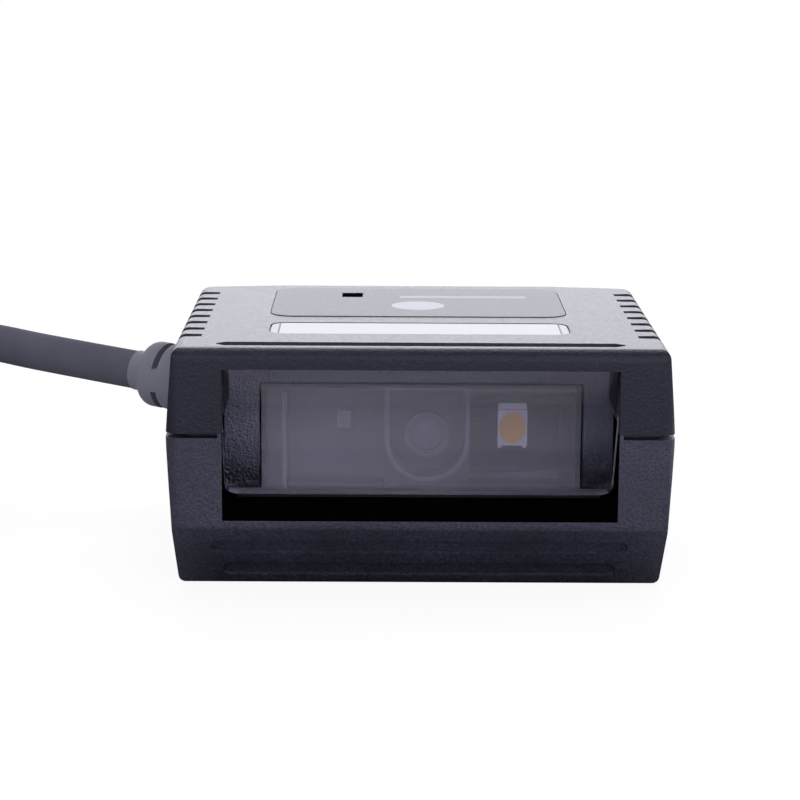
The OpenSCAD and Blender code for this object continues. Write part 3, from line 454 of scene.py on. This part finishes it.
# Grained overlay film: dark grey with a fine tooth, paler in light from behind, and two pale prints
overlay_film, place = new_material("grained_overlay_film")
apart = add(overlay_film, "ShaderNodeSeparateXYZ", {}, {0: place})
from_disc = add(overlay_film, "ShaderNodeVectorMath", {"operation": "DISTANCE", 1: disc_middle}, {0: place})
disc = add(overlay_film, "ShaderNodeMath", {"operation": "LESS_THAN", 1: disc_r},
           {0: from_disc.outputs["Value"]})
bar_x = add(overlay_film, "ShaderNodeMath", {"operation": "COMPARE", 1: bar_middle[0], 2: bar_half[0]},
            {0: apart.outputs["X"]})
bar_y = add(overlay_film, "ShaderNodeMath", {"operation": "COMPARE", 1: bar_middle[1], 2: bar_half[1]},
            {0: apart.outputs["Y"]})
bar = add(overlay_film, "ShaderNodeMath", {"operation": "MULTIPLY"},
          {0: bar_x.outputs[0], 1: bar_y.outputs[0]})
film_tone = add(overlay_film, "ShaderNodeMix",
                {"data_type": "RGBA", 6: linear("24242b"), 7: linear("6c6c76")}, {0: bar.outputs[0]})
film_tone = add(overlay_film, "ShaderNodeMix", {"data_type": "RGBA", 7: linear("84848e")},
                {0: disc.outputs[0], 6: film_tone.outputs[2]})
grain = add(overlay_film, "ShaderNodeTexNoise", {"Scale": 1 / (0.3 * mm), "Detail": 3.0}, {"Vector": place})
satin = add(overlay_film, "ShaderNodeMapRange", {"To Min": 0.42, "To Max": 0.55},
            {"Value": grain.outputs["Fac"]})
bump = add(overlay_film, "ShaderNodeBump", {"Strength": 0.6, "Distance": 0.03 * mm},
           {"Height": grain.outputs["Fac"]})
surface(overlay_film, {"Specular IOR Level": 0.28, "Specular Tint": (0.85, 0.85, 1.0, 1.0)},
        {"Base Color": film_tone.outputs[2], "Roughness": satin.outputs["Result"],
         "Normal": bump.outputs["Normal"]})
overlay = rounded_copy("top_overlay", 0.05)
paint(overlay, overlay_film)
# Smoke plastic: a black spot without gloss while its light is off
smoke = grained("matte_smoke_plastic", "040406", "070709", 0.4, 0.02, 0.8, {"Specular IOR Level": 0.0})
paint(nodes["indicator_lens"], smoke)

# Screws and inserts
# Pan-head screws of zinc-plated steel hold the covers from below and the engine from above. Two
# turned and knurled brass inserts are pressed into the floor for the fixing screws.
# Zinc plating is a pale cool grey, and brass a warm yellow, both half bright
zinc = grained("zinc_plated_steel", "a8a8ac", "b6b6ba", 0.4, 0.004, 0.3, {"Metallic": 1.0})
for name in ("case_screws", "engine_screws"):
    paint(nodes[name], zinc)
brass = grained("turned_brass", "c29a52", "cfa860", 0.3, 0.004, 0.3, {"Metallic": 1.0})
paint(nodes["mount_inserts"], brass)

# Scan engine
# A moulded black block with a thin clear cover glued on, the lens in its round recess, and the
# compartments of the aimer and the white light on the board behind. Two screws hold its ears.
# Clear polycarbonate: a faint violet haze over all that lies behind it
clear_cover = new_material("clear_polycarbonate")[0]
surface(clear_cover, {"Base Color": linear("dad6e6"), "Roughness": 0.02, "IOR": 1.3,
                      "Transmission Weight": 0.88}, clear=True)
paint(nodes["engine_cover"], clear_cover)
# Smooth moulded black: dark grey with soft reflections
smooth_black = grained("smooth_moulded_black", "2a2a32", "303038", 0.3, 0.006, 0.35)
engine = rounded_copy("engine_frame", 0.06)
paint(engine, smooth_black)
# The rim and the bead round the lens recess stand proud of the front face, and a pale grey on them is a
# painted highlight of their lit edges
painted_rim_highlight = grained("rim_painted_highlight", "5a5a66", "62626e", 0.3, 0.004, 0.35)
engine.data.materials.append(painted_rim_highlight)
rim_slot = 1
proud_y = -2.95 * mm
for face in engine.data.polygons:
    if face.center.y < proud_y:
        face.material_index = rim_slot
# Bead-blasted plastic: a dull mid grey that shows the barrel's rings
barrel_grey = grained("bead_blasted_barrel", "50505a", "585862", 0.3, 0.006, 0.5)
for name in ("lens_barrel", "lens_holder"):
    paint(nodes[name], barrel_grey)
# Coated glass: a soft violet disc, half clear
coated_glass = new_material("coated_lens_glass")[0]
surface(coated_glass, {"Base Color": linear("827e98"), "Roughness": 0.25, "IOR": 1.5,
                       "Transmission Weight": 0.5})
paint(nodes["lens_glass"], coated_glass)
# Solder mask: smooth green lacquer on the hidden boards, dark grey on the board of the lights
solder_mask = grained("green_solder_mask", "0c4a2a", "105432", 0.6, 0.006, 0.3)
for name in ("sensor_board", "decoder_board"):
    paint(nodes[name], solder_mask)
dark_mask = grained("dark_solder_mask", "464650", "4c4c56", 0.5, 0.006, 0.5)
paint(nodes["led_board"], dark_mask)
# White moulded package: bright and nearly even
led_white = grained("white_led_package", "dcdce2", "e4e4ea", 0.3, 0.004, 0.4)
paint(nodes["indicator_led"], led_white)
# The silicone fill has crept over the rim of the light's cup, so it shows as a wider oval
light_middle = (10 * mm, 0, 12.5 * mm)
# One over the oval's half width and half height
oval_scale = (0.71 / mm, 0, 0.61 / mm)
overfilled, place = new_material("overfilled_led_package")
from_light = add(overfilled, "ShaderNodeVectorMath", {"operation": "SUBTRACT", 1: light_middle}, {0: place})
oval = add(overfilled, "ShaderNodeVectorMath", {"operation": "MULTIPLY", 1: oval_scale},
           {0: from_light.outputs[0]})
edge = add(overfilled, "ShaderNodeVectorMath", {"operation": "LENGTH"}, {0: oval.outputs[0]})
filled = add(overfilled, "ShaderNodeMapRange", {"From Min": 1.05, "From Max": 0.95},
             {"Value": edge.outputs["Value"]})
tone = add(overfilled, "ShaderNodeMix", {"data_type": "RGBA", 6: linear("dcdce2"), 7: linear("ecb85c")},
           {0: filled.outputs["Result"]})
surface(overfilled, {"Roughness": 0.45}, {"Base Color": tone.outputs[2]})
paint(nodes["illumination_led"], overfilled)
# The aimer's package is a smoky one, a mid grey before its dark board
smoky_package = grained("smoky_led_package", "7c7c86", "84848e", 0.3, 0.004, 0.4)
paint(nodes["aimer_led"], smoky_package)
# Phosphor in silicone: a flat warm yellow
phosphor = grained("phosphor_silicone", "ecb44c", "f2c05c", 0.2, 0.01, 0.5)
paint(nodes["led_phosphor"], phosphor)
# Sensor cover glass: near black and glossy
chip_glass = grained("sensor_cover_glass", "20282c", "283034", 1, 0.001, 0.08)
paint(nodes["image_sensor"], chip_glass)

# Electronics behind the engine
# Moulded packages and nylon connectors, soldered to the boards, an amber ribbon from the sensor's
# board up to its socket, and the lead's four cores, crimped into the wire plug.
# Moulded epoxy is a flat black, nylon a waxy ivory, and polyimide film a glossy amber
package = grained("moulded_epoxy", "161616", "1c1c1c", 0.3, 0.01, 0.5)
for name in ("processor_chip", "memory_chip", "buzzer"):
    paint(nodes[name], package)
nylon = grained("ivory_nylon", "dcd6c2", "e4dfcc", 0.4, 0.006, 0.4)
for name in ("fpc_connector", "wire_header", "wire_plug"):
    paint(nodes[name], nylon)
polyimide = grained("polyimide_film", "a86c1c", "b87a26", 1, 0.002, 0.25)
paint(nodes["flex_cable"], polyimide)
# The cores are parted, coloured from left to right in red, white, green and black, and joined again
cores = rounded_copy("lead_wires", 0)
bpy.ops.object.mode_set(mode="EDIT")
bpy.ops.mesh.select_all(action="SELECT")
bpy.ops.mesh.separate(type="LOOSE")
bpy.ops.object.mode_set(mode="OBJECT")
strands = sorted(bpy.context.selected_objects, key=lambda strand: strand.bound_box[0][0])
for strand, tint in zip(strands, ("a41c1c", "e2e2e2", "1e7a34", "141414")):
    paint(strand, grained("core_insulation_" + tint, tint, tint, 0.5, 0.004, 0.4))
bpy.context.view_layer.objects.active = cores
bpy.ops.object.join()

# Boot
# Soft PVC moulded over the lead where it leaves the wall. A flange behind the wall holds it, and
# the slots of its flex ring let it bend.
boot = rounded_copy("strain_relief", 0.08)
# Moulded PVC: a dull mid grey, paler than the lead
moulded_pvc = grained("moulded_pvc", "6a6a74", "74747e", 0.5, 0.03, 0.6, {"Specular IOR Level": 0.05})
paint(boot, moulded_pvc)

# Plug
# A type A data plug: a grip moulded over the lead's end and over the foot of a folded
# nickel-plated shell, with a white insulator and four gold-plated contacts inside.
grip_black = grained("moulded_plug_grip", "141418", "1a1a1e", 0.4, 0.02, 0.5)
grip = rounded_copy("plug_body", 0.2)
paint(grip, grip_black)
# Nickel plating is bright and slightly warm, the insulator a smooth white
nickel = grained("nickel_plated_steel", "c4c2bc", "cecbc6", 0.5, 0.003, 0.22, {"Metallic": 1.0})
paint(nodes["plug_shell"], nickel)
insulator = grained("white_insulator", "e4e4e4", "ececec", 0.4, 0.004, 0.3)
paint(nodes["plug_tongue"], insulator)
gold = grained("gold_contacts", "d8b458", "e2c068", 0.5, 0.002, 0.2, {"Metallic": 1.0})
paint(nodes["plug_contacts"], gold)

# Floor and studio light
# A white sweep that stays white to the camera and keeps the object's shadow. Two large soft boxes
# stand behind and above the object, two in front, and a strip and a weak fill at each side.
sweep, place = new_material("white_sweep")
# The floor's shadow deepens towards the housing, for all but the camera
apart = add(sweep, "ShaderNodeSeparateXYZ", {}, {0: place})
beside = add(sweep, "ShaderNodeMath", {"operation": "ABSOLUTE"}, {0: apart.outputs["X"]})
before = add(sweep, "ShaderNodeMath", {"operation": "ABSOLUTE"}, {0: apart.outputs["Y"]})
reach = add(sweep, "ShaderNodeMath", {"operation": "MAXIMUM"}, {0: beside.outputs[0], 1: before.outputs[0]})
far = add(sweep, "ShaderNodeMapRange", {"From Min": 0.02, "From Max": 0.2, "To Min": 0.6, "To Max": 0.93},
          {"Value": reach.outputs[0]})
near = add(sweep, "ShaderNodeMapRange", {"From Min": 0.0188, "From Max": 0.027, "To Min": 0.0, "To Max": 1.0},
           {"Value": reach.outputs[0]})
shade = add(sweep, "ShaderNodeMath", {"operation": "MULTIPLY"},
            {0: far.outputs["Result"], 1: near.outputs["Result"]})
path = add(sweep, "ShaderNodeLightPath")
mirrored = add(sweep, "ShaderNodeMath", {"operation": "MULTIPLY", 1: 0.2}, {0: path.outputs["Is Glossy Ray"]})
seen = add(sweep, "ShaderNodeMath", {"operation": "MAXIMUM"},
           {0: path.outputs["Is Camera Ray"], 1: path.outputs["Is Transmission Ray"]})
# Far from the object, where the lamps end, the sweep glows fully white
glowing = add(sweep, "ShaderNodeMapRange", {"From Min": 0.3, "From Max": 0.9, "To Min": 0.9, "To Max": 1.0},
              {"Value": reach.outputs[0]})
share = add(sweep, "ShaderNodeMath", {"operation": "MULTIPLY_ADD"},
            {0: seen.outputs[0], 1: glowing.outputs["Result"], 2: mirrored.outputs[0]})
kept = add(sweep, "ShaderNodeMath", {"operation": "MAXIMUM"},
           {0: path.outputs["Is Camera Ray"], 1: shade.outputs[0]})
paper = add(sweep, "ShaderNodeBsdfDiffuse", {}, {"Color": kept.outputs[0]})
glow = add(sweep, "ShaderNodeEmission", {}, {"Color": kept.outputs[0]})
mixed = add(sweep, "ShaderNodeMixShader", {}, {0: share.outputs[0], 1: paper.outputs[0], 2: glow.outputs[0]})
add(sweep, "ShaderNodeOutputMaterial", {}, {"Surface": mixed.outputs[0]})
bpy.ops.object.select_all(action="DESELECT")
bpy.ops.mesh.primitive_grid_add(x_subdivisions=4, y_subdivisions=4, size=8, location=(0, 1, 0))
floor = bpy.context.active_object
floor.name = "floor"
bpy.ops.object.transform_apply(location=True)
paint(floor, sweep)

# The room is white to the camera and lights the object at a third of that
room_light = 0.35
world = bpy.data.worlds.new("studio")
bpy.context.scene.world = world
world.use_nodes = True
sky = world.node_tree.nodes["Background"]
sky.inputs["Color"].default_value = linear("ffffff")
path = add(world, "ShaderNodeLightPath")
lit = add(world, "ShaderNodeMapRange", {"To Min": room_light, "To Max": 1.0},
          {"Value": path.outputs["Is Camera Ray"]})
world.node_tree.links.new(lit.outputs["Result"], sky.inputs["Strength"])

# Each soft box by its name, place in metres, width, height and watts, all turned to the object
lamp_colour = (0.93, 0.93, 1.0)
lamp_target = Vector((0, 0, 0))
for name, place, width, height, watts in (
        ("back_box", (0, 0.95, 0.4), 0.8, 0.75, 8),
        ("top_box", (0, 0.3, 0.92), 0.8, 0.6, 3.2),
        ("front_high", (0, -0.76, 0.6), 0.8, 0.4, 2.6),
        ("front_low", (0, -0.95, 0.3), 0.8, 0.3, 3.3),
        ("left_strip", (-0.9, 0.45, 0.3), 0.3, 0.5, 3),
        ("right_strip", (0.9, 0.45, 0.3), 0.3, 0.5, 4),
        ("left_fill", (-0.7, -0.7, 0.25), 0.4, 0.4, 0.9),
        ("right_fill", (0.75, -0.65, 0.25), 0.4, 0.4, 2.8)):
    lamp = bpy.data.objects.new(name, bpy.data.lights.new(name, "AREA"))
    lamp.data.shape = "RECTANGLE"
    lamp.data.size = width
    lamp.data.size_y = height
    lamp.data.energy = watts
    lamp.data.color = lamp_colour
    lamp.location = place
    lamp.rotation_euler = (lamp_target - Vector(place)).to_track_quat("-Z", "Y").to_euler()
    bpy.context.scene.collection.objects.link(lamp)

bpy.context.view_layer.update()
